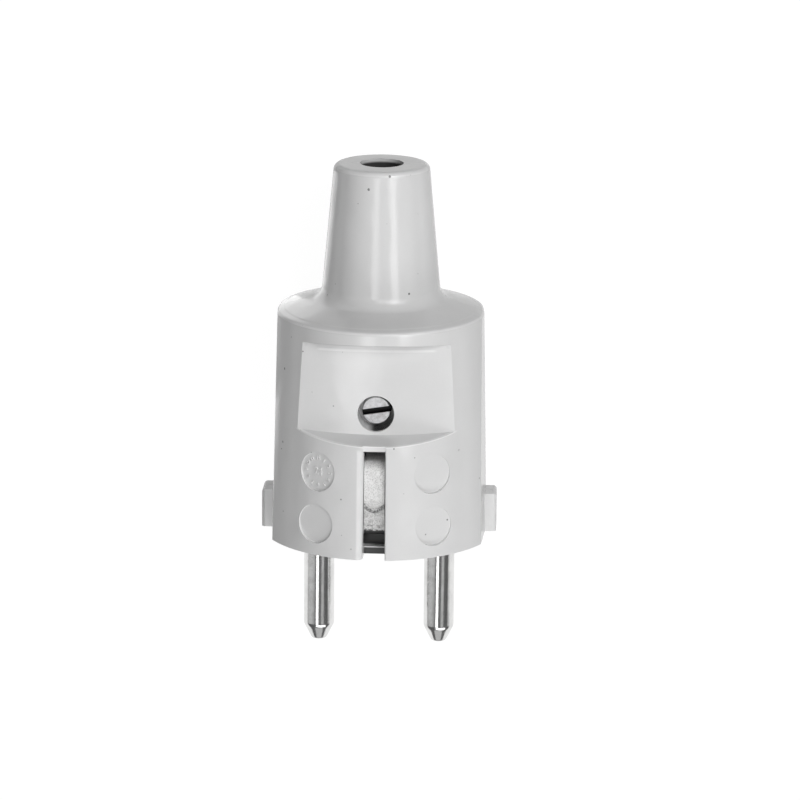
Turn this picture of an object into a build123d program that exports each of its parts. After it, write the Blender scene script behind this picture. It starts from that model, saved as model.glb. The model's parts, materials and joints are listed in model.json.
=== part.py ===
"""Rewirable earthed mains plug with two half shells, lying on its rear shell.

The plug is drawn upright in its own frame, with x to the right, y to the back and z up the axis,
z = 0 on the engagement face. The last section lays it down as it comes to rest.
All sizes are in millimetres.
"""
from build123d import *
import os
from math import atan2, cos, degrees, pi, radians, sin, sqrt, tan

# Outer form of the two shells
face_radius = 18.6          # cone radius at the engagement face
rim_radius = 16.2           # cone radius at the rim under the shoulder
rim_height = 35.1
rim_round = 0.8
side_half_face = 16.85      # half width over the two side flats, on the parting plane
side_half_rim = 16.03
side_draft = 4.0            # degrees that each flat leans in from the parting plane
side_corner_round = 1.0
shoulder_rise = 2.2         # from the rim up to the foot of the neck
neck_foot_radius = 9.25
neck_foot_round = 2.4
neck_top_radius = 7.35
neck_top_round = 1.0
total_height = 58.0
parting_gap = 0.08
wall = 2.0

# Guide rib on each side, half of it on each shell
guide_reach = 18.4
guide_half_width = 2.4
guide_height = 6.1
guide_round = 0.6

# Recessed panel on the front and on the rear
panel_foot = 18.65          # height of the lower ledge, on the panel
panel_head = 32.25          # height of the upper ledge, on the panel
panel_depth_foot = 3.6      # below the cone, at the lower ledge
panel_depth_head = 3.4
panel_crown_radius = 54.0
lower_ledge_slope = 15.4    # degrees
upper_ledge_slope = 9.7

# Earth contact window in each shell
slot_half_width = 1.75      # on the cone
slot_wall_draft = 3.0
slot_height = 16.9
slot_soft_edge = 0.9        # rounded left mouth edge on the front shell
slot_crisp_edge = 0.25
bridge_inset = 0.25         # how far the bridge above each window lies inside the cone

# Round moulded marks, two above each other beside each slot
mark_radius = 3.05
mark_depth = 0.42
mark_turn = 30.0
mark_heights = (4.85, 13.0)

# Housing screw and its nut
screw_height = 21.87
screw_shank_radius = 1.5
screw_bore_clearance = 0.15
screw_head_radius = 2.25
screw_head_height = 1.6
screw_head_sink = 2.0       # head top below the panel
counterbore_radius = 2.8
boss_radius = 3.9
driver_slot_width = 0.75
driver_slot_depth = 0.8
driver_slot_turn = 9.0      # degrees that the housing screw's slot rises to the right
nut_across_flats = 5.5
nut_height = 5.0            # a long nut, for the full pull of the screw
nut_clearance = 0.1
nut_sink = 1.8              # nut face below the rear panel

# Locating pegs of the front shell
peg_x = 12.3
peg_height = 24.6
peg_radius = 1.0
peg_length = 2.2
peg_boss_radius = 1.9
peg_clearance = 0.1

# Pin carrier, held between a lip and a rib of the shells
lip_height = 1.5
lip_reach = 1.2             # how far lip and rib stand inside the wall
plate_top = 3.4
rib_height = 1.0
carrier_clearance = 0.1
notch_half_width = 1.9
notch_inset = 5.4           # notch floor inside the cone, at the face
sill_inset = 3.6            # front face of the sill inside the cone, at the face
sill_height = 1.15
bow_pad_top = 4.8
bow_pad_half_width = 3.4
partition_gap = 0.7         # from the earth bow's middle to the partition
partition_thickness = 1.0
partition_top = 12.0
partition_half_depth = 6.5

# Contact pins
pin_pitch = 19.0
pin_radius = 2.4
pin_length = 19.0
pin_taper_length = 2.5
pin_tip_radius = 1.15
pin_root_radius = 2.9       # thicker root, held in the carrier
pin_root_start = 0.1
pin_fit = 0.03
collar_radius = 3.6
collar_height = 1.2
head_half_width = 3.5
head_half_depth = 3.7
head_top = 13.5
head_corner_round = 1.4
wire_hole_radius = 1.7
wire_hole_depth = 7.4
stop_gap = 0.1              # from the terminal head to the shell's stop rib
stop_thickness = 1.2
stop_half_width = 3.2
stop_clear = 2.3            # the stop ribs leave the wire hole free
backing_thickness = 1.2     # ribs of the rear shell behind the terminal heads
backing_spread = 2.2        # from the middle of the head to each rib

# Terminal screws
terminal_screw_height = 8.8
terminal_shank_radius = 1.75
terminal_head_radius = 2.6
terminal_head_height = 1.9
thread_clearance = 0.05

# Earth bow, one folded strip with two contact arms and a terminal trough
strip_side_gap = 0.02       # from the strip to the window's walls, where it passes the seat's rib
strip_thickness = 0.8
bow_middle_width = 7.0
bow_middle_half_depth = 5.6
trough_half_depth = 3.2     # to the middle of the strip
bow_top = 14.9
arm_crest_inset = 1.23      # outer face of the arm inside the cone, at its crest
arm_crest_height = 9.1
arm_head_inset = 1.51
arm_foot_inset = 2.78
arm_foot_height = 3.2
arm_tuck = 1.5
bend_radius = 0.9
earth_screw_height = 10.2
earth_screw_length = 5.4
washer_half_width = 3.2
washer_thickness = 0.8

# Cord clamp
clamp_height = 30.9
clamp_half_width = 2.2
clamp_half_length = 10.6
clamp_strap_thickness = 2.4
clamp_screw_x = 8.1
clamp_screw_length = 8.0
clamp_shank_radius = 1.45
clamp_head_radius = 2.4
clamp_head_height = 1.7
clamp_boss_radius = 2.5
cord_seat_radius = 3.6
clamp_tooth = 0.5
cradle_half_width = 5.4
cradle_rib_thickness = 1.0

# Neck bore
entry_radius = 3.35
entry_length = 8.0
neck_wall = 2.6
grip_rings = (39.6, 42.6, 45.6)
grip_ring_thickness = 1.0
grip_ring_radius = 3.5

# Values worked out from the sizes above
cone_slope = (face_radius - rim_radius) / rim_height
front, rear = -1, 1
clear_of_all = 60.0
shoulder_foot = rim_height + shoulder_rise
neck_slope = (neck_foot_radius - neck_top_radius) / (total_height - shoulder_foot)
pin_x = pin_pitch / 2
notch_depth = face_radius - notch_inset
sill_depth = face_radius - sill_inset


def cone_radius(z):
    """Radius of the cone at a height."""
    return face_radius - cone_slope * z


def neck_radius(z):
    """Radius of the neck at a height."""
    return neck_foot_radius - neck_slope * (z - shoulder_foot)


def polygon(*points):
    """A face with straight edges through the points given."""
    return make_face(Polyline(*points, close=True))


def round_corner(face, point, radius):
    """Rounds the corner of a flat face that lies nearest to a point."""
    corner = face.vertices().sort_by_distance((point[0], point[1], 0))[0]
    return fillet(corner, radius)


def turned(face):
    """Revolves a face drawn as (radius, height) about the plug's axis."""
    return revolve(Plane.XZ * face, Axis.Z)


def along_depth(radius, start, end, x=0.0, z=0.0):
    """A round bar that runs from one y to another."""
    bar = Cylinder(radius, abs(end - start))
    return Pos(x, (start + end) / 2, z) * Rot(90, 0, 0) * bar


def block(x_range, y_range, z_range):
    """A box between two values on each axis."""
    spans = [sorted(span) for span in (x_range, y_range, z_range)]
    middle = [(low + high) / 2 for low, high in spans]
    return Pos(*middle) * Box(*[high - low for low, high in spans])


def edge_near(solid, point):
    """The edge that lies nearest to a point."""
    return solid.edges().sort_by_distance(point)[0]


def screw(head_radius, head_height, shank_radius, shank_length, slot_turn=0.0):
    """A slotted cheese-head screw that points to +y, with the underside of its head at y = 0."""
    head = along_depth(head_radius, -head_height, 0)
    head = chamfer(head.edges().sort_by(Axis.Y)[0], 0.12 * head_height)
    shank = along_depth(shank_radius, 0, shank_length)
    shank = chamfer(shank.edges().sort_by(Axis.Y)[-1], 0.3 * shank_radius)
    cut = block((-clear_of_all, clear_of_all), (-head_height - 1, driver_slot_depth - head_height),
                (-driver_slot_width / 2, driver_slot_width / 2))
    return head + shank - Rot(0, -slot_turn, 0) * cut


# Outer form and chamber of the two shells

def cut_to_flats(solid, offset):
    """Cuts a solid to the side flats moved inwards, each leaning in from the parting plane and up."""
    rise = (side_half_face - side_half_rim) / rim_height
    for x in (-1, 1):
        for y in (-1, 1):
            upwards = Vector(-x * rise, 0, 1)
            outwards = Vector(-x * sin(radians(side_draft)), y * cos(radians(side_draft)), 0)
            normal = outwards.cross(upwards) * (x * y)
            flat = Plane(origin=(x * (side_half_face - offset), 0, 0), z_dir=normal)
            solid -= flat * Pos(0, 0, clear_of_all) * Box(*[2 * clear_of_all] * 3)
    return solid


def outer_body():
    """Cone, shoulder and neck in one turned form, cut to the two side flats."""
    profile = polygon((0, 0), (face_radius, 0), (rim_radius, rim_height),
                      (neck_foot_radius, shoulder_foot), (neck_top_radius, total_height), (0, total_height))
    profile = round_corner(profile, (neck_foot_radius, shoulder_foot), neck_foot_round)
    profile = round_corner(profile, (neck_top_radius, total_height), neck_top_round)
    body = cut_to_flats(turned(profile), 0)
    half = side_half_face - 1.1
    depth = sqrt(cone_radius(rim_height / 2) ** 2 - half ** 2)
    corners = [edge_near(body, (x * half, y * depth, rim_height / 2)) for x in (-1, 1) for y in (-1, 1)]
    body = fillet(corners, side_corner_round)
    rim = [edge for edge in body.edges() if abs(edge.center().Z - rim_height) < rim_round
           and edge.bounding_box().size.Z < rim_round]
    return fillet(rim, rim_round)


def inner_form(offset, low, high):
    """The body's cone and flats moved inwards, between two heights."""
    profile = polygon((0, low), (cone_radius(low) - offset, low), (cone_radius(high) - offset, high), (0, high))
    return cut_to_flats(turned(profile), offset)


def chamber():
    """Hollow of the two shells: seat of the carrier, wiring space, funnel and neck bore."""
    seat_top = plate_top + carrier_clearance
    rib_top = seat_top + rib_height
    roof = rim_height - 1.5
    opening = inner_form(wall + lip_reach, -1, rib_top)
    seat = inner_form(wall, lip_height, seat_top)
    funnel_top = total_height - entry_length - 1.5
    profile = polygon((0, rib_top), (cone_radius(rib_top) - wall, rib_top), (cone_radius(roof) - wall, roof),
                      (neck_radius(shoulder_foot) - neck_wall, shoulder_foot - wall),
                      (neck_radius(funnel_top) - neck_wall, funnel_top),
                      (entry_radius, total_height - entry_length), (entry_radius, total_height + 1),
                      (0, total_height + 1))
    space = cut_to_flats(turned(profile), wall)
    for z in grip_rings:
        ring = Cylinder(neck_foot_radius - 1, grip_ring_thickness) - Cylinder(grip_ring_radius, grip_ring_thickness)
        space -= Pos(0, 0, z) * ring
    hollow = opening + seat + space
    for side in (front, rear):
        hollow -= panel_recess(side, wall, panel_foot - wall, clear_of_all)
    return hollow


def panel_face(z):
    """Distance of the panel's crown from the axis, at a height."""
    low = cone_radius(panel_foot) - panel_depth_foot
    high = cone_radius(panel_head) - panel_depth_head
    return low + (high - low) * (z - panel_foot) / (panel_head - panel_foot)


def panel_recess(side, offset, low, high):
    """What the recess takes away: outside a gently crowned panel, between two sloping ledges."""
    out = face_radius + 6.0
    low_drop = (out - panel_face(low)) * tan(radians(lower_ledge_slope))
    high_rise = (out - panel_face(panel_head)) * tan(radians(upper_ledge_slope))
    if high > panel_head:
        high_rise = 0.0
    deep = panel_face(panel_foot) - 4.0
    low_lift = (panel_face(low) - deep) * tan(radians(lower_ledge_slope))
    outline = polygon((deep, low + low_lift), (out, low - low_drop), (out, high + high_rise), (deep, high))
    prism = extrude(Plane.YZ * outline, clear_of_all / 2, both=True)
    lean = degrees(atan2(panel_face(panel_foot) - panel_face(panel_head), panel_head - panel_foot))
    crown = Cylinder(panel_crown_radius - offset, 3 * clear_of_all)
    centre = panel_face(panel_foot) - panel_crown_radius
    crown = Pos(0, centre, panel_foot) * Rot(lean, 0, 0) * crown
    recess = prism - crown
    return recess if side == rear else mirror(recess, Plane.XZ)


def slot_half(depth):
    """Half width of the earth contact's window, at a distance from the axis."""
    return slot_half_width - (face_radius - depth) * tan(radians(slot_wall_draft))


def slot_cutter(side):
    """The window of the earth contact, wider towards its mouth."""
    mouth = face_radius + 1.0
    floor = notch_depth - 0.3
    narrow = slot_half(floor)
    wide = slot_half(mouth)
    outline = polygon((-narrow, side * floor), (narrow, side * floor), (wide, side * mouth), (-wide, side * mouth))
    return Pos(0, 0, -1) * extrude(outline, slot_height + 1, dir=(0, 0, 1))


def bridge_cutter(side):
    """What sets the bridge between a window and the panel back from the cone."""
    low = slot_height - 0.5
    inner = polygon((0, low - 1), (cone_radius(low - 1) - bridge_inset, low - 1),
                    (cone_radius(panel_foot) - bridge_inset, panel_foot), (0, panel_foot))
    outer = block((-slot_half_width, slot_half_width), (side * notch_depth, side * (face_radius + 1)),
                  (low, panel_foot - 0.1))
    return outer - turned(inner)


def moulded_mark(side, turn, z):
    """A round shallow sink with a flat floor, square to the cone."""
    sink = Pos(0, 0, cone_radius(z) - mark_depth + 2.0) * Cylinder(mark_radius, 4.0)
    return Pos(0, 0, z) * Rot(0, 0, turn) * Rot(-90 * side, 0, 0) * sink


def shelled_body():
    """Both shells as one, before they are parted and fitted out."""
    body = outer_body()
    for x in (-1, 1):
        rib = block((x * (side_half_rim - 2), x * guide_reach), (-guide_half_width, guide_half_width), (0, guide_height))
        outer = rib.edges().group_by(Axis.X)[-1 if x > 0 else 0].sort_by(Axis.Z)[1:]
        body += fillet(outer, guide_round)
    for side in (front, rear):
        body -= panel_recess(side, 0, panel_foot, panel_head)
        body -= slot_cutter(side)
        mouth_y = side * sqrt(cone_radius(8) ** 2 - slot_half_width ** 2)
        soft = slot_soft_edge if side == front else slot_crisp_edge
        body = fillet(edge_near(body, (-slot_half_width, mouth_y, 8)), soft)
        body = fillet(edge_near(body, (slot_half_width, mouth_y, 8)), slot_crisp_edge)
        body -= bridge_cutter(side)
        for turn in (-mark_turn, mark_turn):
            for z in mark_heights:
                body -= moulded_mark(side, turn, z)
    return body


def half_of(solid, side):
    """The part of a solid on one side of the parting plane, less half the parting gap."""
    near = side * parting_gap / 2
    return solid & block((-clear_of_all, clear_of_all), (near, side * clear_of_all), (-5, total_height + 5))


def stop_ribs(side):
    """Two ribs above the terminal heads that keep the pins from being pushed in."""
    low = head_top + stop_gap
    ribs = [block((x - stop_half_width, x + stop_half_width), (side * stop_clear, side * face_radius),
                  (low, low + stop_thickness)) for x in (-pin_x, pin_x)]
    return ribs[0] + ribs[1]


def backing_ribs():
    """Two ribs behind each terminal head, which take the push of the screwdriver."""
    low = plate_top + carrier_clearance + rib_height
    ribs = []
    for x in (-pin_x, pin_x):
        for spread in (-backing_spread, backing_spread):
            middle = x + spread
            ribs.append(block((middle - backing_thickness / 2, middle + backing_thickness / 2),
                              (head_half_depth + stop_gap, face_radius), (low, head_top + stop_gap)))
    return ribs


def housing_boss(side):
    """The post round the housing screw, from the panel to the parting plane."""
    return along_depth(boss_radius, 0, side * face_radius, z=screw_height)


def peg_bosses(side):
    """Two posts for the locating pegs."""
    posts = [along_depth(peg_boss_radius, 0, side * face_radius, x, peg_height) for x in (-peg_x, peg_x)]
    return posts[0] + posts[1]


def front_half_shell(body, hollow):
    """Front shell with the counterbored screw boss and the two locating pegs."""
    solid = half_of(body, front)
    shell = solid - hollow
    shell += half_of((housing_boss(front) + peg_bosses(front) + stop_ribs(front)) & body, front)
    seat = -panel_face(screw_height) + screw_head_sink + screw_head_height
    shell -= along_depth(counterbore_radius, seat, -clear_of_all, z=screw_height)
    shell -= along_depth(screw_shank_radius + screw_bore_clearance, seat - 1, 1, z=screw_height)
    for x in (-peg_x, peg_x):
        peg = along_depth(peg_radius, -1, peg_length, x, peg_height)
        shell += chamfer(peg.edges().sort_by(Axis.Y)[-1], 0.25)
    return shell


def rear_half_shell(body, hollow):
    """Rear shell with the nut pocket, the peg holes, the clamp posts and the cord cradle."""
    solid = half_of(body, rear)
    shell = solid - hollow
    posts = housing_boss(rear) + peg_bosses(rear) + stop_ribs(rear)
    for x in (-clamp_screw_x, clamp_screw_x):
        posts += along_depth(clamp_boss_radius, 0, face_radius, x, clamp_height)
    for z in (-1, 1):
        middle = clamp_height + z * (clamp_half_width - cradle_rib_thickness / 2)
        span = (middle - cradle_rib_thickness / 2, middle + cradle_rib_thickness / 2)
        posts += block((-cradle_half_width, cradle_half_width), (0, face_radius), span)
    posts -= Pos(0, 0, clamp_height) * Cylinder(cord_seat_radius, 3 * clamp_half_width)
    for rib in backing_ribs():
        posts += rib
    shell += half_of(posts & body, rear)
    pocket = extrude(Plane.XZ * RegularPolygon(nut_across_flats / 2 + nut_clearance, 6, major_radius=False), -clear_of_all)
    shell -= Pos(0, nut_seat(), screw_height) * pocket
    shell -= along_depth(screw_shank_radius + screw_bore_clearance, -1, nut_seat() + 1, z=screw_height)
    for x in (-peg_x, peg_x):
        shell -= along_depth(peg_radius + peg_clearance, -1, peg_length + 0.4, x, peg_height)
    for x in (-clamp_screw_x, clamp_screw_x):
        shell -= along_depth(clamp_shank_radius + thread_clearance, -1, clamp_screw_length, x, clamp_height)
    return shell


# Fasteners of the housing

def nut_seat():
    """How far behind the axis the inner face of the nut sits."""
    return panel_face(screw_height) - nut_sink - nut_height


def housing_screw():
    """The long screw that holds the shells together, its head sunk in the front panel."""
    underside = -panel_face(screw_height) + screw_head_sink + screw_head_height
    length = nut_seat() + nut_height - underside + 0.4
    body = screw(screw_head_radius, screw_head_height, screw_shank_radius, length, driver_slot_turn)
    return Pos(0, underside, screw_height) * body


def housing_nut():
    """Hexagon nut in the pocket of the rear panel."""
    outline = RegularPolygon(nut_across_flats / 2, 6, major_radius=False)
    outline -= Circle(screw_shank_radius + thread_clearance)
    nut = extrude(Plane.XZ * outline, -nut_height)
    crown = along_depth(nut_across_flats * 0.56, 0, nut_height)
    crown = chamfer(crown.edges().sort_by(Axis.Y)[-1], 0.3)
    return Pos(0, nut_seat(), screw_height) * (nut & crown)


# Pin carrier

def pin_carrier():
    """Moulded plate that closes the face, carries both pins and parts the live poles from earth."""
    plate = inner_form(wall + lip_reach + carrier_clearance, 0, lip_height + carrier_clearance)
    plate += inner_form(wall + carrier_clearance, lip_height + carrier_clearance, plate_top)
    for side in (front, rear):
        plate -= block((-notch_half_width, notch_half_width), (side * notch_depth, side * clear_of_all),
                       (sill_height, plate_top + 1))
        plate -= block((-notch_half_width, notch_half_width), (side * sill_depth, side * clear_of_all),
                       (-1, plate_top + 1))
    plate += block((-bow_pad_half_width, bow_pad_half_width), (-trough_half_depth, trough_half_depth),
                   (plate_top - 1, bow_pad_top))
    inner = bow_middle_width / 2 + partition_gap
    for x in (-1, 1):
        plate += block((x * inner, x * (inner + partition_thickness)), (-partition_half_depth, partition_half_depth),
                       (plate_top - 1, partition_top))
        plate -= Pos(x * pin_x, 0, plate_top / 2) * Cylinder(pin_root_radius + pin_fit, 2 * plate_top)
    return plate


# Contact pins and their screws

def contact_pin(x):
    """Solid round pin with a tapered tip, a thicker root, a collar and a square terminal head."""
    tip_start = -pin_length + pin_taper_length
    profile = polygon((0, plate_top + 0.5), (pin_root_radius, plate_top + 0.5), (pin_root_radius, pin_root_start),
                      (pin_radius, pin_root_start), (pin_radius, tip_start), (pin_tip_radius, -pin_length),
                      (0, -pin_length))
    profile = round_corner(profile, (pin_radius, tip_start), 1.5)
    profile = round_corner(profile, (pin_tip_radius, -pin_length), 0.5)
    pin = turned(profile)
    collar_top = plate_top + collar_height
    pin += Pos(0, 0, plate_top + collar_height / 2) * Cylinder(collar_radius, collar_height)
    head = block((-head_half_width, head_half_width), (-head_half_depth, head_half_depth), (collar_top, head_top))
    head = fillet(head.edges().filter_by(Axis.Z), head_corner_round)
    pin += chamfer(head.edges().group_by(Axis.Z)[-1], 0.3)
    pin -= Pos(0, 0, head_top - wire_hole_depth / 2 + 1) * Cylinder(wire_hole_radius, wire_hole_depth + 2)
    pin -= along_depth(terminal_shank_radius + thread_clearance, -clear_of_all, 0, z=terminal_screw_height)
    return Pos(x, 0, 0) * pin


def terminal_screw(x):
    """Screw that clamps a wire in the terminal head from the front."""
    body = screw(terminal_head_radius, terminal_head_height, terminal_shank_radius, head_half_depth)
    return Pos(x, -head_half_depth, terminal_screw_height) * body


# Earth bow and its clamp

def earth_bow():
    """One strip folded into two sprung arms and a trough that takes the earth wire."""
    half = strip_thickness / 2
    top = bow_top - half
    floor = bow_pad_top + half
    foot = cone_radius(arm_foot_height) - arm_foot_inset - half
    crest = cone_radius(arm_crest_height) - arm_crest_inset - half
    arm = [(foot - arm_tuck, arm_foot_height + 0.5), (foot, arm_foot_height),
           (crest, arm_crest_height), (cone_radius(top) - arm_head_inset - half, top)]
    route = arm + [(trough_half_depth, top), (trough_half_depth, floor)]
    route += [(-y, z) for y, z in reversed(route)]
    path = FilletPolyline(*route, radius=bend_radius)
    side_view = trace(path, line_width=strip_thickness)
    strip = extrude(Plane.YZ * side_view, bow_middle_width / 2, both=True)
    strip_half = slot_half(face_radius - wall - lip_reach) - strip_side_gap
    plan = Rectangle(2 * strip_half, 3 * face_radius) + Rectangle(bow_middle_width, 2 * bow_middle_half_depth)
    strip &= extrude(plan, clear_of_all, both=True)
    face = -trough_half_depth - half
    return strip - along_depth(terminal_shank_radius + thread_clearance, face - 1, 0, z=earth_screw_height)


def earth_clamp_washer():
    """Square washer under the head of the earth screw."""
    back = -trough_half_depth - strip_thickness / 2
    half = washer_half_width
    washer = block((-half, half), (back - washer_thickness, back), (earth_screw_height - half, earth_screw_height + half))
    washer = fillet(washer.edges().filter_by(Axis.Y), 0.6)
    return washer - along_depth(terminal_shank_radius + 0.1, -clear_of_all, 0, z=earth_screw_height)


def earth_screw():
    """Screw of the earth terminal, through the washer into the front wall of the trough."""
    underside = -trough_half_depth - strip_thickness / 2 - washer_thickness
    body = screw(terminal_head_radius, terminal_head_height, terminal_shank_radius, earth_screw_length)
    return Pos(0, underside, earth_screw_height) * body


# Cord clamp

def cord_clamp():
    """Saddle over the cord, with two gripping teeth across its arch."""
    arch_radius = cord_seat_radius + clamp_strap_thickness
    outline = Circle(arch_radius) + Rectangle(2 * clamp_half_length, 2 * clamp_strap_thickness)
    corners = [v for v in outline.vertices() if abs(abs(v.X) - clamp_half_length) < 0.01]
    outline = fillet(corners, 0.8)
    outline -= Circle(cord_seat_radius)
    outline &= Pos(0, -clear_of_all / 2) * Rectangle(2 * clear_of_all, clear_of_all)
    strap = Pos(0, 0, clamp_height - clamp_half_width) * extrude(outline, 2 * clamp_half_width, dir=(0, 0, 1))
    tooth_ring = Circle(cord_seat_radius + 0.2) - Circle(cord_seat_radius - clamp_tooth)
    tooth_ring &= Pos(0, -clear_of_all / 2 - 0.6) * Rectangle(2 * clear_of_all, clear_of_all)
    for z in (-1, 1):
        low = clamp_height + z * clamp_half_width / 2 - clamp_tooth / 2
        strap += Pos(0, 0, low) * extrude(tooth_ring, clamp_tooth, dir=(0, 0, 1))
    for x in (-clamp_screw_x, clamp_screw_x):
        strap -= along_depth(clamp_shank_radius + 0.15, -clear_of_all, 1, x, clamp_height)
    return strap


def clamp_screw(x):
    """Screw of the cord clamp, into the post of the rear shell."""
    body = screw(clamp_head_radius, clamp_head_height, clamp_shank_radius, clamp_screw_length + clamp_strap_thickness - 0.6)
    return Pos(x, -clamp_strap_thickness, clamp_height) * body


# The whole plug, upright

shell_body = shelled_body()
shell_hollow = chamber()
pieces = {
    "front_half_shell": front_half_shell(shell_body, shell_hollow),
    "rear_half_shell": rear_half_shell(shell_body, shell_hollow),
    "housing_screw": housing_screw(),
    "housing_nut": housing_nut(),
    "pin_carrier": pin_carrier(),
    "left_pin": contact_pin(-pin_x),
    "right_pin": contact_pin(pin_x),
    "left_terminal_screw": terminal_screw(-pin_x),
    "right_terminal_screw": terminal_screw(pin_x),
    "earth_bow": earth_bow(),
    "earth_clamp_washer": earth_clamp_washer(),
    "earth_screw": earth_screw(),
    "cord_clamp": cord_clamp(),
    "left_clamp_screw": clamp_screw(-clamp_screw_x),
    "right_clamp_screw": clamp_screw(clamp_screw_x),
}

# Laid down on the rear shell: the front looks up, the neck points along +y, the pins along -y.
# It rests on the feet of the rear window's two edges and on the rim, where the rim's round begins.

edge_x = slot_half_width + slot_crisp_edge
edge_depth = sqrt(face_radius ** 2 - edge_x ** 2)
rim_turn = pi / 2 - atan2(shoulder_rise, rim_radius - neck_foot_radius) - atan2(cone_slope, 1)
rim_touch = rim_height - rim_round * tan(rim_turn / 2)
rest_lean = degrees(atan2(edge_depth - cone_radius(rim_touch), rim_touch))
laid = {name: Rot(-90 - rest_lean, 0, 0) * piece for name, piece in pieces.items()}
boxes = [piece.bounding_box() for piece in laid.values()]
low_corner = [min(getattr(box.min, axis) for box in boxes) for axis in "XYZ"]
high_corner = [max(getattr(box.max, axis) for box in boxes) for axis in "XYZ"]
middle_x = (low_corner[0] + high_corner[0]) / 2
middle_y = (low_corner[1] + high_corner[1]) / 2

os.makedirs("parts", exist_ok=True)
for name, piece in laid.items():
    placed = Pos(-middle_x, -middle_y, -low_corner[2]) * piece
    export_step(placed, f"parts/{name}.step")
    box = placed.bounding_box()
    print(name, round(placed.volume, 1), [round(v, 2) for v in (*box.min, *box.max)])
print("rest lean", round(rest_lean, 3), "shift", [round(v, 3) for v in (-middle_x, -middle_y, -low_corner[2])])
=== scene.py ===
"""A rewirable earthed mains plug in light grey plastic, lying on its rear shell.

The camera looks down on its front, so that the plug stands upright in the picture, pins down.
"""
import json
import bmesh
import bpy
import numpy as np
from mathutils import Matrix, Vector


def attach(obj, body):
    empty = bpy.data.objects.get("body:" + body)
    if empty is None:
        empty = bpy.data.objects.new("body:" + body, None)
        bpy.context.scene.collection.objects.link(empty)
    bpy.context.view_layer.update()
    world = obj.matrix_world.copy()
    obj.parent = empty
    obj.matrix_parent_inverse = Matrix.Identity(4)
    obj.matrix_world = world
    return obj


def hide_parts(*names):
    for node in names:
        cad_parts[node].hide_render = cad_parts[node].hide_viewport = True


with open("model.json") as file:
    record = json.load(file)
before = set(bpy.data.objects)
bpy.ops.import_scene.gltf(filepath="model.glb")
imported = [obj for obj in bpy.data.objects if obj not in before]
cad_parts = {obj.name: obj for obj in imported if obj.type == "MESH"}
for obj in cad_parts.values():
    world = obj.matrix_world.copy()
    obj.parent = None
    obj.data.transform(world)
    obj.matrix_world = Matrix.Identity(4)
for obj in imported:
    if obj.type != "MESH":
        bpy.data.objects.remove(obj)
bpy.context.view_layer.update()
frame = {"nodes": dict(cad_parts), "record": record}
nodes = frame["nodes"]


# Where the plug lies.
# Its own axes are to the right, to the back and up from the engagement face to the neck, in millimetres,
# and the mount on the engagement face says how they lie in the row.

engagement_face = next(m for m in frame["record"]["mounts"] if m["name"] == "engagement_face")
plug_foot = np.array(engagement_face["pos_m"])
plug_up = -np.array(engagement_face["axis"])
plug_right = np.array([1.0, 0.0, 0.0])
plug_back = np.cross(plug_up, plug_right)
plug_axes = np.column_stack([plug_right, plug_back, plug_up])
per_metre = 1000                # millimetres


def placed(points):
    """Metres in the row for points in the plug's own millimetres: foot + right * x + back * y + up * z."""
    return plug_foot + np.asarray(points, float) / per_metre @ plug_axes.T


# Half shells.
# Two mouldings of glossy light grey thermoset, pressed in a steel mould and held together by one screw.
# Their skin has a slight orange peel, pale clouds of filler and a few dark specks. Pale lines are painted
# along the edges as highlights, and black is painted as shade in the counterbore, the neck's hole and under
# the panel's brow.

# Colour, and the skin. Sizes and depths are in millimetres.
shell_grey = (0.80, 0.80, 0.80)
thermoset_ior = 1.5
cloud_size = 9.0
cloud_swing = 0.035             # how much the grey varies over a cloud, and over the fine grain
grain_size = 0.35
grain_swing = 0.012
speck_spacing = 1.6
speck_size = 0.26
speck_patch = 2.0               # specks lie in patches of this size, where its noise is at these levels
speck_levels = (0.35, 0.6)
speck_grey = (0.08, 0.08, 0.08)
speck_cover = 0.8
shell_gloss = 0.13              # lowest roughness, and what a rubbed patch adds to it
shell_dulling = 0.10
peel_size = 0.9
peel_depth = 0.006
wave_size = 5.0
wave_depth = 0.15
cove_width = 0.9
cove_depth = 0.05

# Form of the shells, so that the painted highlights and painted shade follow it.
cone_foot = 18.6                # radius of the cone at the engagement face, and how it narrows
cone_slope = 0.0684
rim_height = 35.1
neck_end_height = 58.0
ledge_height = 18.65            # of the ledge under the panel, how deep it starts and how it falls
ledge_depth = 13.725
ledge_slope = 0.2754
brow_height = 32.25             # of the edge above the panel, in the same way
brow_depth = 12.99
brow_slope = 0.1709
screw_height = 21.87
counterbore_radius = 2.8

# Painted highlights on the edges. A line is painted pale between two heights, and fades over a softness past
# each.
rim_line = (rim_height - 0.25, rim_height - 0.08)
head_line = (brow_height - 0.75, brow_height - 0.5)
line_soft = 0.12
neck_line = (neck_end_height - 0.6, neck_end_height - 0.25)
neck_soft = 0.15
neck_edge = (5.4, 5.8)          # from the axis, where the line starts and where it is full
ledge_line = (-0.14, 0.02)      # over the slope of the ledge
ledge_soft = 0.07
ledge_reach = (ledge_depth - 1.9, ledge_depth - 1.1)
head_half = 11.2                # half the length of the line at the panel's head, and its fading end
head_end = 1.2
window_line = (-2.5, -1.7)      # across, on the soft left edge of the front earth window
window_soft = 0.3
window_top = (17.3, 16.9)
window_highlight = 0.6
front_side = (-12.0, -14.0)     # back, from none to full
rim_skin = (-1.6, -1.0)         # how near the cone's skin a line lies, from none to full
window_skin = (-1.3, -0.9)
edge_skin = (-0.5, -0.2)
recess_skin = (-1.0, -1.4)      # the other way round: in the panel, under the skin
highlight_patch_size = 3.0                # the painted highlights come and go in patches of this size
highlight_least = 0.5
highlight_swing = 0.6
highlight_grey = (0.95, 0.95, 0.95)
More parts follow.
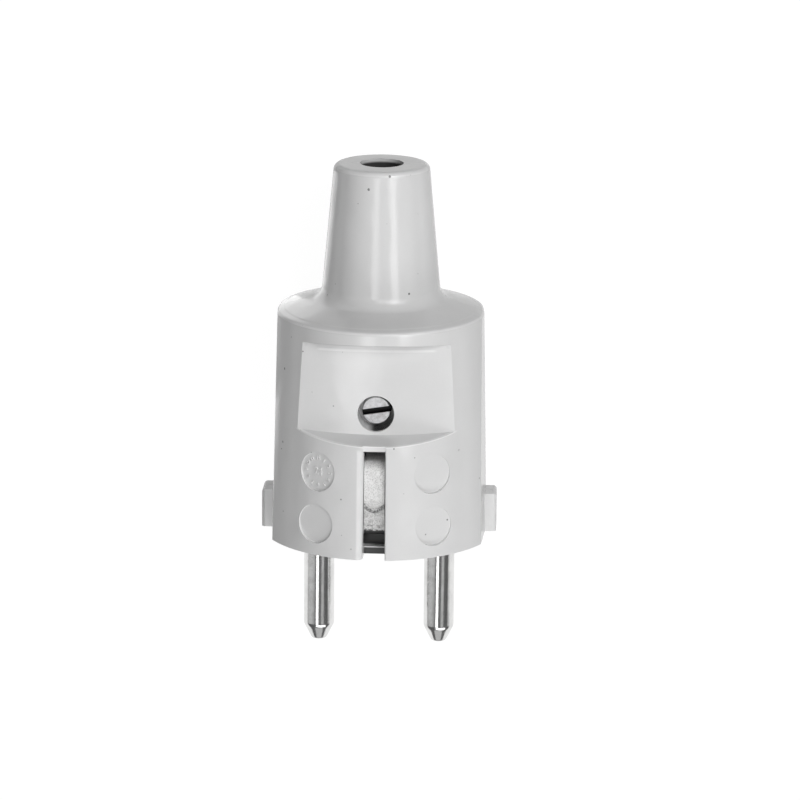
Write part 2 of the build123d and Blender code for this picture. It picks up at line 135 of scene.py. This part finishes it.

# Painted shade, black: in the screw's counterbore, in the neck's hole and along the panel's brow.
shade_black = (0.03, 0.03, 0.03)
shade_cover = 0.96
bore_shade = (counterbore_radius + 0.2, counterbore_radius + 0.05)
bore_floor = (-13.3, -13.0)     # back, from none to full
bore_side = (0.85, -0.5)        # across and up, towards the lower right
bore_spread = (0.1, 1.3)
hole_radius = (3.8, 3.5)
hole_heights = (44.0, neck_end_height - 0.7)
hole_soft = 0.4
brow_line = (0.0, 0.25)         # over the slope of the brow
brow_soft = 0.25
brow_half = 9.0
brow_end = 2.5
brow_shade = 0.45

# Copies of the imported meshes.
merge_distance = 1e-7           # metres
crease_angle = 28.0             # degrees above which an edge stays sharp
large_face_weight = 100         # how much the largest faces count in the normals


def smooth_copy(name):
    """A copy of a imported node's mesh with its doubles merged, smooth up to the crease angle."""
    source = nodes[name]
    mesh = source.data.copy()
    mesh.name = name + "_skin"
    work = bmesh.new()
    work.from_mesh(mesh)
    bmesh.ops.remove_doubles(work, verts=work.verts, dist=merge_distance)
    work.to_mesh(mesh)
    work.free()
    mesh.materials.clear()
    if mesh.has_custom_normals:
        mesh.attributes.remove(mesh.attributes["custom_normal"])
    mesh.shade_smooth()
    mesh.set_sharp_from_angle(angle=np.radians(crease_angle))
    piece = bpy.data.objects.new(name + "_skin", mesh)
    bpy.context.scene.collection.objects.link(piece)
    weighted = piece.modifiers.new("even_normals", "WEIGHTED_NORMAL")
    weighted.keep_sharp = True
    weighted.weight = large_face_weight
    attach(piece, "root")
    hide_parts(name)
    return piece


class Wire:
    """One output of a shader node. Python's operators on it add Math nodes."""

    def __init__(self, tree, socket):
        self.tree, self.socket = tree, socket

    def node(self, kind, settings=None, inputs=None, output=0):
        """Adds a node of a type. Its settings come first, then the values or links of its sockets."""
        made = self.tree.nodes.new(kind)
        for key, value in (settings or {}).items():
            setattr(made, key, value)
        for key, value in (inputs or {}).items():
            if isinstance(value, Wire):
                self.tree.links.new(value.socket, made.inputs[key])
            else:
                made.inputs[key].default_value = value
        return Wire(self.tree, made.outputs[output])

    def math(self, operation, first, second=0.0):
        """A Math node on one or two values."""
        return self.node("ShaderNodeMath", {"operation": operation}, {0: first, 1: second})

    def __add__(self, other):
        return self.math("ADD", self, other)

    def __radd__(self, other):
        return self.math("ADD", other, self)

    def __sub__(self, other):
        return self.math("SUBTRACT", self, other)

    def __rsub__(self, other):
        return self.math("SUBTRACT", other, self)

    def __mul__(self, other):
        return self.math("MULTIPLY", self, other)

    def __rmul__(self, other):
        return self.math("MULTIPLY", other, self)

    def __truediv__(self, other):
        return self.math("DIVIDE", self, other)

    def __pow__(self, other):
        return self.math("POWER", self, other)

    def most(self, other):
        """The larger of two values."""
        return self.math("MAXIMUM", self, other)

    def unsigned(self):
        """This value without its sign."""
        return self.math("ABSOLUTE", self)

    def over(self, low, high):
        """0 under the low value, 1 over the high one, and smooth between them."""
        return self.node("ShaderNodeMapRange", {"interpolation_type": "SMOOTHSTEP"},
                         {"Value": self, "From Min": low, "From Max": high})

    def noise(self, size, detail=3.0, roughness=0.55, stretch=(1, 1, 1), shift=(0, 0, 0)):
        """Noise from 0 to 1 on these coordinates, with a grain of a size in millimetres."""
        scale = tuple(s / size for s in stretch)
        where = self.node("ShaderNodeMapping", None, {"Vector": self, "Scale": scale, "Location": shift})
        return self.node("ShaderNodeTexNoise", {"noise_dimensions": "3D"},
                         {"Vector": where, "Scale": 1.0, "Detail": detail, "Roughness": roughness})

    def specks(self, spacing, size):
        """1 inside round specks that lie a spacing apart.

        A speck reaches size * lot^4, with a lot from 0 to 1 for each, and fades over the last fifth of it.
        """
        nearly_none = 1e-4
        where = self.node("ShaderNodeMapping", None, {"Vector": self, "Scale": (1 / spacing,) * 3})
        cell = {"Vector": where, "Scale": 1.0, "Randomness": 1.0}
        far = self.node("ShaderNodeTexVoronoi", {"feature": "F1"}, cell, "Distance")
        lot = self.node("ShaderNodeTexVoronoi", {"feature": "F1"}, cell, "Color")
        lot = lot.node("ShaderNodeSeparateColor", None, {"Color": lot}, "Red")
        reach = lot ** 4.0 * (size / spacing)
        return (far / (reach + nearly_none)).over(1.0, 0.8)

    def part(self, axis):
        """One of this vector's three numbers, by its letter."""
        return self.node("ShaderNodeSeparateXYZ", None, {"Vector": self}, axis)

    def band(self, low, high, soft):
        """1 between two values, and smoothly down to 0 over a softness past each."""
        return self.over(low - soft, low) * self.over(high + soft, high)

    def tint(self, dark, light):
        """The colour between two greys or colours that this value, from 0 to 1, picks."""
        return self.node("ShaderNodeMix", {"data_type": "RGBA"},
                         {"Factor": self, 6: (*dark, 1), 7: (*light, 1)}, 2)

    def blend(self, under, colour):
        """The colour below this mask, turned into another where the mask is 1."""
        return self.node("ShaderNodeMix", {"data_type": "RGBA"},
                         {"Factor": self, 6: under, 7: (*colour, 1)}, 2)

    def bump(self, depth, under=None):
        """A Normal from this value as a height in millimetres, times the depth."""
        inputs = {"Strength": 1.0, "Distance": depth / per_metre, "Height": self}
        if under is not None:
            inputs["Normal"] = under
        return self.node("ShaderNodeBump", None, inputs)


def finish_named(name, **fixed):
    """A new material: returns it, its shader, and the plug's own coordinates in millimetres."""
    made = bpy.data.materials.new(name)
    made.use_nodes = True
    tree = made.node_tree
    shader = tree.nodes["Principled BSDF"]
    for key, value in fixed.items():
        shader.inputs[key.replace("_", " ").title().replace("Ior", "IOR")].default_value = value
    place = tree.nodes.new("ShaderNodeTexCoord")
    turned = Matrix(plug_axes.T.tolist())
    where = Wire(tree, place.outputs["Object"])
    where = where.node("ShaderNodeMapping", None, {
        "Vector": where, "Scale": (per_metre,) * 3, "Rotation": turned.to_euler("XYZ"),
        "Location": turned @ Vector(plug_foot) * -per_metre})
    return made, shader, where


def feed(shader, **wires):
    """Links values to a shader's sockets by name."""
    for key, wire in wires.items():
        socket = shader.inputs[key.replace("_", " ").title()]
        wire.tree.links.new(wire.socket, socket)


def on_shell(where):
    """Across, back and up, the distance from the axis, and skin: how far a point lies outside the cone."""
    across, back, up = where.part("X"), where.part("Y"), where.part("Z")
    reach = (across ** 2.0 + back ** 2.0) ** 0.5
    return across, back, up, reach, reach + up * cone_slope - cone_foot


def worn_edges(where):
    """Painted highlights: pale lines where the rounded edges would catch the light, the largest of five
    lines.

    They lie on the rim, the end of the neck, the ledge, the soft edge of the front window, and at the
    panel's head. over_ledge is the height over the slope under the panel.
    """
    across, back, up, reach, skin = on_shell(where)
    out = back.unsigned()
    over_ledge = up + (out - ledge_depth) * ledge_slope - ledge_height
    rim = up.band(*rim_line, line_soft) * skin.over(*rim_skin)
    neck_end = up.band(*neck_line, neck_soft) * reach.over(*neck_edge)
    ledge = over_ledge.band(*ledge_line, ledge_soft) * skin.over(*edge_skin) * out.over(*ledge_reach)
    window = across.band(*window_line, window_soft) * up.over(*window_top)
    window = window * back.over(*front_side) * skin.over(*window_skin)
    head = up.band(*head_line, line_soft) * skin.over(*recess_skin)
    head = head * across.band(-head_half, head_half, head_end)
    return rim.most(neck_end).most(ledge).most(window * window_highlight).most(head)


def cove(where):
    """The round in the corner at the panel's head: its face rises from 0 to 1 over its width."""
    _, _, up, _, skin = on_shell(where)
    return up.over(brow_height - cove_width, brow_height) * skin.over(*recess_skin)


def dust(where):
    """Painted shade in black: the largest of three places.

    They are the lower right of the screw's counterbore, the neck's hole and a line along the panel's
    brow. over_brow is the height over the slope above the panel.
    """
    across, back, up, reach, skin = on_shell(where)
    rise = up - screw_height
    from_screw = (across ** 2.0 + rise ** 2.0) ** 0.5
    aside = (across * bore_side[0] + rise * bore_side[1]).over(*bore_spread)
    counterbore = from_screw.over(*bore_shade) * back.over(*bore_floor) * aside
    hole = reach.over(*hole_radius) * up.band(*hole_heights, hole_soft)
    over_brow = up - (back.unsigned() - brow_depth) * brow_slope - brow_height
    brow = over_brow.band(*brow_line, brow_soft) * skin.over(*edge_skin)
    brow = brow * across.band(-brow_half, brow_half, brow_end)
    return counterbore.most(hole).most(brow * brow_shade)


def shell_material():
    """Glossy thermoset: grey with faint clouds and specks, painted edge highlights and painted black shade,
    under a slightly wavy skin.
    """
    made, shader, where = finish_named("shell_thermoset", ior=thermoset_ior)
    cloud = where.noise(cloud_size, detail=4.0) - 0.5
    grain = where.noise(grain_size, detail=2.0) - 0.5
    specks = where.specks(speck_spacing, speck_size)
    specks = specks * where.noise(speck_patch, detail=1.0).over(*speck_levels)
    highlight_mask = where.noise(highlight_patch_size, detail=5.0, roughness=0.7)
    level = cloud * cloud_swing + grain * grain_swing + 0.5
    grey = level.tint((0.0, 0.0, 0.0), tuple(2 * c for c in shell_grey))
    # Painted highlights: pale lines along the edges, stronger in patches. The same patches make the skin
    # rougher.
    pale = worn_edges(where) * (highlight_mask * highlight_swing + highlight_least)
    grey = pale.blend(grey, highlight_grey)
    grey = (specks * speck_cover).blend(grey, speck_grey)
    # Painted shade: black in the screw's counterbore, in the neck's hole and along the panel's brow
    grey = (dust(where) * shade_cover).blend(grey, shade_black)
    wave = where.noise(wave_size, detail=1.0).bump(wave_depth)
    wave = cove(where).bump(cove_depth, wave)
    peel = where.noise(peel_size, detail=2.0).bump(peel_depth, wave)
    feed(shader, base_color=grey, roughness=highlight_mask * shell_dulling + shell_gloss, normal=peel)
    return made


shell_finish = shell_material()
for name in ("front_half_shell", "rear_half_shell"):
    shell = smooth_copy(name)
    shell.data.materials.append(shell_finish)


# Figures of a date dial.
# Plain numbers from 1 to 12 in a ring and one in the middle, cut into the mould in the upper left mark, so
# that they stand proud of the same moulding.

dial_turn = -30.0               # degrees round the plug
dial_height = 13.0
dial_floor = 17.291             # from the plug's axis to the floor of the mark
dial_radius = 2.12
ring_numbers = 12
figure_height = 0.8
middle_number = "24"
middle_height = 1.75
figure_spacing = 0.85           # as a share of the letters' own
figure_relief = 0.16
curve_steps = 3


def date_dial():
    """Numbers on a ring at radius * (sin a, cos a), turned by -a, a twelfth of a turn apart.

    The last one is larger and goes in the middle.
    """
    turn = np.radians(dial_turn)
    to_right = np.array([np.cos(turn), np.sin(turn), 0.0])
    outwards = np.array([np.sin(turn), -np.cos(turn), 0.0])
    axes = np.stack([to_right, np.array([0, 0, 1.0]), outwards])
    centre = outwards * dial_floor + [0, 0, dial_height]
    points, faces, count = [], [], 0
    for number in range(1, ring_numbers + 2):
        ring = number <= ring_numbers
        letters = bpy.data.curves.new("figure", "FONT")
        letters.body = str(number) if ring else middle_number
        letters.size = figure_height if ring else middle_height
        letters.space_character = figure_spacing
        letters.align_x, letters.align_y = "CENTER", "CENTER"
        letters.extrude = figure_relief
        letters.resolution_u = curve_steps
        holder = bpy.data.objects.new("figure", letters)
        mesh = bpy.data.meshes.new_from_object(holder)
        flat = np.empty(3 * len(mesh.vertices))
        mesh.vertices.foreach_get("co", flat)
        angle = 2 * np.pi * number / ring_numbers * ring
        spin = np.array([[np.cos(angle), -np.sin(angle), 0], [np.sin(angle), np.cos(angle), 0], [0, 0, 1]])
        spot = ring * dial_radius * np.array([np.sin(angle), np.cos(angle), 0])
        on_dial = flat.reshape(-1, 3) @ spin + spot
        points.append(placed(centre + on_dial @ axes))
        faces += [[count + v for v in face.vertices] for face in mesh.polygons]
        count += len(mesh.vertices)
        bpy.data.objects.remove(holder)
        bpy.data.meshes.remove(mesh)
    raised = bpy.data.meshes.new("dial_figures")
    raised.from_pydata(np.concatenate(points).tolist(), [], faces)
    return raised


raised = date_dial()
raised.materials.append(shell_finish)
figures = bpy.data.objects.new("dial_figures", raised)
bpy.context.scene.collection.objects.link(figures)
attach(figures, "root")


# Pin carrier and cord clamp.
# Two plain mouldings of the same thermoset, less polished, which the shells hide but for the sill
# in the foot of each earth window and the plate between the pins.

carrier_grey = (0.04, 0.04, 0.04)
blotch_size = 4.0               # and how much the grey varies over a blotch, and over the grain
blotch_swing = 0.06
carrier_grain_size = 0.3
carrier_grain_swing = 0.04
carrier_least = 0.45            # of the level that picks the grey
sill_heights = (1.05, 1.3)      # top of each sill, and how far out it lies
sill_soft = 0.08
sill_reach = (13.2, 13.8)
sill_highlight_grey = (0.85, 0.85, 0.85)
sill_highlight_cover = 0.9
carrier_dull_size = 1.2
carrier_roughness = (0.35, 0.2)     # least, and what the noise adds
carrier_bump_size = 0.25
carrier_bump = 0.01


def carrier_material():
    """Matt moulded thermoset with a fine grain, and a pale line painted on top of each sill as its highlight.
    """
    made, shader, where = finish_named("carrier_thermoset", ior=thermoset_ior)
    blotch = where.noise(blotch_size, detail=4.0) * blotch_swing
    level = blotch + where.noise(carrier_grain_size, detail=2.0) * carrier_grain_swing + carrier_least
    # Painted highlight: a pale band along the top of each sill
    highlight_mask = where.part("Z").band(*sill_heights, sill_soft) * where.part("Y").unsigned().over(*sill_reach)
    black = level.tint((0, 0, 0), tuple(2 * c for c in carrier_grey))
    least, added = carrier_roughness
    feed(shader, base_color=(highlight_mask * sill_highlight_cover).blend(black, sill_highlight_grey),
         roughness=where.noise(carrier_dull_size, detail=3.0) * added + least,
         normal=where.noise(carrier_bump_size, detail=2.0).bump(carrier_bump))
    return made


carrier_finish = carrier_material()
for name in ("pin_carrier", "cord_clamp"):
    moulding = smooth_copy(name)
    moulding.data.materials.append(carrier_finish)


# Contact pins.
# Turned from brass bar and nickel plated: bright, with faint rings from the lathe and fine scratches
# along them from the socket's contacts.

nickel = (0.75, 0.75, 0.745)
stain_share = 0.86              # how much of that colour the darkest haze leaves
ring_size = 0.12                # across the rings, which run round the pin
ring_depth = 0.0015
scratch_size = 0.14             # across the scratches, which run along the pin
scratch_depth = 0.0012
ring_stretch = (0.02, 0.02, 1)  # shares of the noise's scale across, back and up
scratch_stretch = (1, 1, 0.03)
haze_size = 2.6
haze_levels = (0.35, 0.75)
pin_roughness = 0.07            # least, and what haze and scratches add
haze_roughness = 0.12
scratch_roughness = 0.08


def pin_material():
    """Bright nickel plate with turned rings, scratches along the plug's axis and a thin haze."""
    made, shader, where = finish_named("pin_nickel", metallic=1.0)
    rings = where.noise(ring_size, detail=2.0, roughness=0.6, stretch=ring_stretch)
    scratches = where.noise(scratch_size, detail=3.0, roughness=0.7, stretch=scratch_stretch)
    haze = where.noise(haze_size, detail=5.0, roughness=0.65)
    stained = tuple(c * stain_share for c in nickel)
    feed(shader, base_color=haze.over(*haze_levels).tint(nickel, stained),
         roughness=haze * haze_roughness + scratches * scratch_roughness + pin_roughness,
         normal=scratches.bump(scratch_depth, rings.bump(ring_depth)))
    return made


pin_finish = pin_material()
for name in ("left_pin", "right_pin"):
    pin = smooth_copy(name)
    pin.data.materials.append(pin_finish)


# Earth bow.
# One strip of spring brass, pressed, folded and nickel plated. Its two arms show in the windows,
# hammered by the press and darker towards the foot.

strip_nickel = (0.74, 0.74, 0.735)
strip_dark = (0.08, 0.08, 0.08)
pebble_size = 0.30
pebble_depth = 0.09
pit_size = 0.17
pit_levels = (0.50, 0.60)       # of its noise, from none to full
pit_shift = (7, 3, 5)
wear_size = 1.1
wear_levels = (0.44, 0.60)
wear_least = 0.2                # of the wear high on the strip, and what its foot adds
wear_at_foot = 0.6
foot_heights = (9.0, 3.5)       # from none to full
lower_heights = (9.1, 8.3)
scuff_heights = (7.1, 7.6)      # of the scuffed arc in the middle of the strip, which falls to its sides
scuff_soft = 0.35
scuff_curve = 0.35
scuff_size = 0.7
scuff_levels = (0.40, 0.55)
ragged_heights = (3.6, 3.1)
ragged_reach = 1.6              # how far the ragged edge of the dark foot wanders, and over what size
ragged_size = 0.7
tucked_heights = (13.5, 14.1)
tucked_dulling = 0.85
pit_stain = 0.28                # how dark each stain is
worn_stain = 0.40
scuff_stain = 0.5
lower_darkening = 0.12
strip_roughness = 0.34          # least, and what pebbles and wear add
pebble_roughness = 0.25
worn_roughness = 0.20


def strip_material():
    """Plated strip with a pebbled, stained face, scuffed under its crest, darker lower down, dark and ragged
    at its foot, and dull on top.

    The scuff lies on the arc where height - curve * across^2 is in its band. The stains and the darkening
    lower down are added up.
    """
    made, shader, where = finish_named("strip_nickel", metallic=1.0)
    height = where.part("Z")
    pebble = where.noise(pebble_size, detail=3.0, roughness=0.7)
    pits = where.noise(pit_size, detail=2.0, roughness=0.6, shift=pit_shift).over(*pit_levels)
    arc = (height - where.part("X") ** 2.0 * scuff_curve).band(*scuff_heights, scuff_soft)
    scuff = arc * where.noise(scuff_size, detail=3.0).over(*scuff_levels)
    worn = where.noise(wear_size, detail=5.0, roughness=0.7).over(*wear_levels)
    worn = worn * (height.over(*foot_heights) * wear_at_foot + wear_least)
    wander = where.noise(ragged_size, detail=4.0, roughness=0.7) * ragged_reach
    ragged = (height - wander).over(*ragged_heights)
    dark = pits * pit_stain + worn * worn_stain + scuff * scuff_stain
    # Darker over the lower part of the strip, and dark at its foot past a ragged edge
    dark = dark + height.over(*lower_heights) * lower_darkening + ragged
    feed(shader, base_color=dark.tint(strip_nickel, strip_dark),
         roughness=pebble * pebble_roughness + worn * worn_roughness + strip_roughness,
         metallic=1.0 - height.over(*tucked_heights) * tucked_dulling, normal=pebble.bump(pebble_depth))
    return made


bow = smooth_copy("earth_bow")
bow.data.materials.append(strip_material())


# Screws, nut and washer.
# Zinc-plated steel. The screws are cheese-headed with a sawn slot, turned, and slightly scratched by the
# driver, and the housing screw's slot is coloured black.

zinc = (0.62, 0.62, 0.63)
zinc_stained = (0.26, 0.26, 0.26)
driver_scratch_size = 0.2
driver_scratch_depth = 0.02
driver_scratch_stretch = (1, 0.3, 0.3)
zinc_stain_size = 0.9
zinc_stain_levels = (0.35, 0.75)
zinc_stain_share = 0.6
zinc_pit_size = 0.22
zinc_pit_levels = (0.60, 0.68)
zinc_pit_share = 0.4
zinc_roughness = 0.30           # least, and what stains add
stain_roughness = 0.22
slot_turn = 9.0                 # degrees that the housing screw's slot rises to the right
slot_half = 0.375
head_radius = 2.25
slot_black_edge = (slot_half + 0.12, slot_half + 0.04)
slot_black_reach = (head_radius + 0.1, head_radius)
slot_black_side = (-8.0, -9.0)        # back, from none to full
slot_black = (0.015, 0.015, 0.015)


def slot_dirt(where):
    """1 near the middle line of the housing screw's slot: where cos a * rise - sin a * across is small."""
    across, rise = where.part("X"), where.part("Z") - screw_height
    turn = np.radians(slot_turn)
    off_line = (rise * np.cos(turn) - across * np.sin(turn)).unsigned()
    from_screw = (across ** 2.0 + rise ** 2.0) ** 0.5
    return off_line.over(*slot_black_edge) * from_screw.over(*slot_black_reach) * where.part("Y").over(*slot_black_side)


def steel_material():
    """Zinc-plated steel, scratched, stained and pitted."""
    made, shader, where = finish_named("screw_zinc", metallic=1.0)
    scratches = where.noise(driver_scratch_size, detail=4.0, roughness=0.7, stretch=driver_scratch_stretch)
    stain = where.noise(zinc_stain_size, detail=5.0, roughness=0.7)
    pits = where.noise(zinc_pit_size, detail=2.0, roughness=0.6).over(*zinc_pit_levels)
    dark = stain.over(*zinc_stain_levels) * zinc_stain_share + pits * zinc_pit_share
    # The housing screw's slot is coloured black
    feed(shader, base_color=slot_dirt(where).blend(dark.tint(zinc, zinc_stained), slot_black),
         roughness=stain * stain_roughness + zinc_roughness, normal=scratches.bump(driver_scratch_depth))
    return made


steel_finish = steel_material()
steel_names = [n for n in nodes if n.endswith("_screw") or n in ("housing_nut", "earth_clamp_washer")]
for name in sorted(steel_names):
    fastener = smooth_copy(name)
    fastener.data.materials.append(steel_finish)


# Floor.
# A plain dark sheet under the plug, so that little light comes up from it. It is lifted to white for the
# camera and for reflections, and the plug's shadow stays on it, faintly.

floor_half = 0.9                # metres
floor_grey = (0.08, 0.08, 0.08)
floor_roughness = 0.9
floor_glow = 0.97


def floor_material():
    """Matt sheet that glows white where a ray comes from the camera, a reflection or a refraction."""
    made = bpy.data.materials.new("white_sheet")
    made.use_nodes = True
    tree = made.node_tree
    shader = tree.nodes["Principled BSDF"]
    shader.inputs["Base Color"].default_value = (*floor_grey, 1)
    shader.inputs["Roughness"].default_value = floor_roughness
    shader.inputs["Specular IOR Level"].default_value = 0.0
    path = tree.nodes.new("ShaderNodeLightPath")
    seen = Wire(tree, path.outputs["Is Camera Ray"])
    seen = seen.most(Wire(tree, path.outputs["Is Glossy Ray"]))
    seen = seen.most(Wire(tree, path.outputs["Is Transmission Ray"]))
    shader.inputs["Emission Color"].default_value = (1, 1, 1, 1)
    tree.links.new((seen * floor_glow).socket, shader.inputs["Emission Strength"])
    return made


sheet = bpy.data.meshes.new("floor")
corners = [(-floor_half, -floor_half, 0), (floor_half, -floor_half, 0),
           (floor_half, floor_half, 0), (-floor_half, floor_half, 0)]
sheet.from_pydata(corners, [], [(0, 1, 2, 3)])
floor = bpy.data.objects.new("floor", sheet)
bpy.context.scene.collection.objects.link(floor)
sheet.materials.append(floor_material())


# Camera.
# It stands 541 mm in front of the plug's front and 15.6 degrees above square, with a long lens.

camera_distance = 541.3
camera_rise = 15.562            # degrees from square on, towards the neck
camera_turn = 2.5               # to the right, and its roll
camera_roll = 0.497
camera_side = 3.073             # millimetres that the view is shifted to the right
camera_height = 20.307          # height on the plug that it looks at
camera_lens = 156.09
sensor = 36.0
nearest_seen = 0.01             # metres

rise, turn, roll = np.radians([camera_rise, camera_turn, camera_roll])
view_back = np.array([np.sin(turn) * np.cos(rise), -np.cos(turn) * np.cos(rise), np.sin(rise)])
view_right = np.array([np.cos(turn), np.sin(turn), 0.0])
view_up = np.cross(view_back, view_right)
rolled_right = np.cos(roll) * view_right + np.sin(roll) * view_up
rolled_up = -np.sin(roll) * view_right + np.cos(roll) * view_up
stand = np.array([0, 0, camera_height]) + view_back * camera_distance + rolled_right * camera_side
camera_data = bpy.data.cameras.new("camera")
camera_data.lens = camera_lens
camera_data.sensor_width = sensor
camera_data.clip_start = nearest_seen
camera = bpy.data.objects.new("camera", camera_data)
bpy.context.scene.collection.objects.link(camera)
bpy.context.scene.camera = camera
looks = plug_axes @ np.column_stack([rolled_right, rolled_up, view_back])
camera.matrix_world = Matrix.Translation(placed(stand)) @ Matrix(looks.tolist()).to_4x4()


# Light.
# A tall soft box right of the camera, a narrow one left of it, and wide ones towards the neck and the pins.
# Weak ones far to the left and right, low at the right and past the pins, a bar above the neck, and two
# small lamps close by on the left that edge the plug.

plug_middle = np.array([0.0, 0.0, 25.0])
lamp_distance = 900.0
edge_radiance = 1.1             # of the lamps close by, in watts in each steradian and square metre
room_grey = 0.02                # of the room on the plug
mirror_grey = 0.10              # what the room adds in reflections


def soft_box(name, spot, aim, width, height, power):
    """An area lamp at a spot that faces another, its height along the plug.

    Spot and aim are in the plug's millimetres, width and height in metres, power in watts.
    """
    spot, aim = np.array(spot, float), np.array(aim, float)
    out = (spot - aim) / np.linalg.norm(spot - aim)
    side = np.cross([0, 0, 1.0], out)
    side /= np.linalg.norm(side)
    lamp = bpy.data.lights.new(name, "AREA")
    lamp.shape = "RECTANGLE"
    lamp.size, lamp.size_y = width, height
    lamp.energy = power
    box = bpy.data.objects.new(name, lamp)
    bpy.context.scene.collection.objects.link(box)
    axes = plug_axes @ np.column_stack([side, np.cross(out, side), out])
    box.matrix_world = Matrix.Translation(placed(spot)) @ Matrix(axes.tolist()).to_4x4()
    box.visible_camera = False


def round_box(name, turn, rise, width, height, power):
    """A lamp round the plug, at distance * (sin t cos r, -cos t cos r, sin r) from its middle."""
    turn, rise = np.radians([turn, rise])
    out = np.array([np.sin(turn) * np.cos(rise), -np.cos(turn) * np.cos(rise), np.sin(rise)])
    soft_box(name, lamp_distance * out + plug_middle, plug_middle, width, height, power)


def edge_box(name, across, back, up, width, height):
    """A lamp beside the plug that faces forwards, with power pi * radiance * width * height."""
    power = np.pi * edge_radiance * width * height
    soft_box(name, (across, back, up), (across, 0.0, up), width, height, power)


round_box("key_box", turn=29.0, rise=17.0, width=0.24, height=0.82, power=2.5)
round_box("wide_box", turn=20.0, rise=-46.0, width=1.0, height=0.4, power=2.8)
round_box("front_box", turn=25.0, rise=26.0, width=0.9, height=0.42, power=2.6)
round_box("left_box", turn=-9.5, rise=-8.0, width=0.20, height=0.60, power=1.2)
round_box("low_box", turn=-63.0, rise=-19.0, width=1.3, height=0.14, power=0.33)
round_box("pin_box", turn=30.0, rise=-20.0, width=0.3, height=0.14, power=0.06)
round_box("right_box", turn=100.0, rise=-19.0, width=0.8, height=0.12, power=0.25)
round_box("bar_box", turn=0.0, rise=68.0, width=0.9, height=0.12, power=0.5)
round_box("foot_box", turn=0.0, rise=-74.0, width=0.6, height=0.3, power=0.25)
edge_box("body_edge", across=-38.0, back=17.5, up=18.0, width=0.022, height=0.04)
edge_box("neck_edge", across=-24.0, back=15.0, up=50.0, width=0.018, height=0.03)
world = bpy.data.worlds.new("room")
bpy.context.scene.world = world
world.use_nodes = True
air = world.node_tree
air.nodes["Background"].inputs["Color"].default_value = (1, 1, 1, 1)
mirrored = Wire(air, air.nodes.new("ShaderNodeLightPath").outputs["Is Glossy Ray"])
air.links.new((mirrored * mirror_grey + room_grey).socket, air.nodes["Background"].inputs["Strength"])
bpy.context.scene.view_settings.view_transform = "Standard"
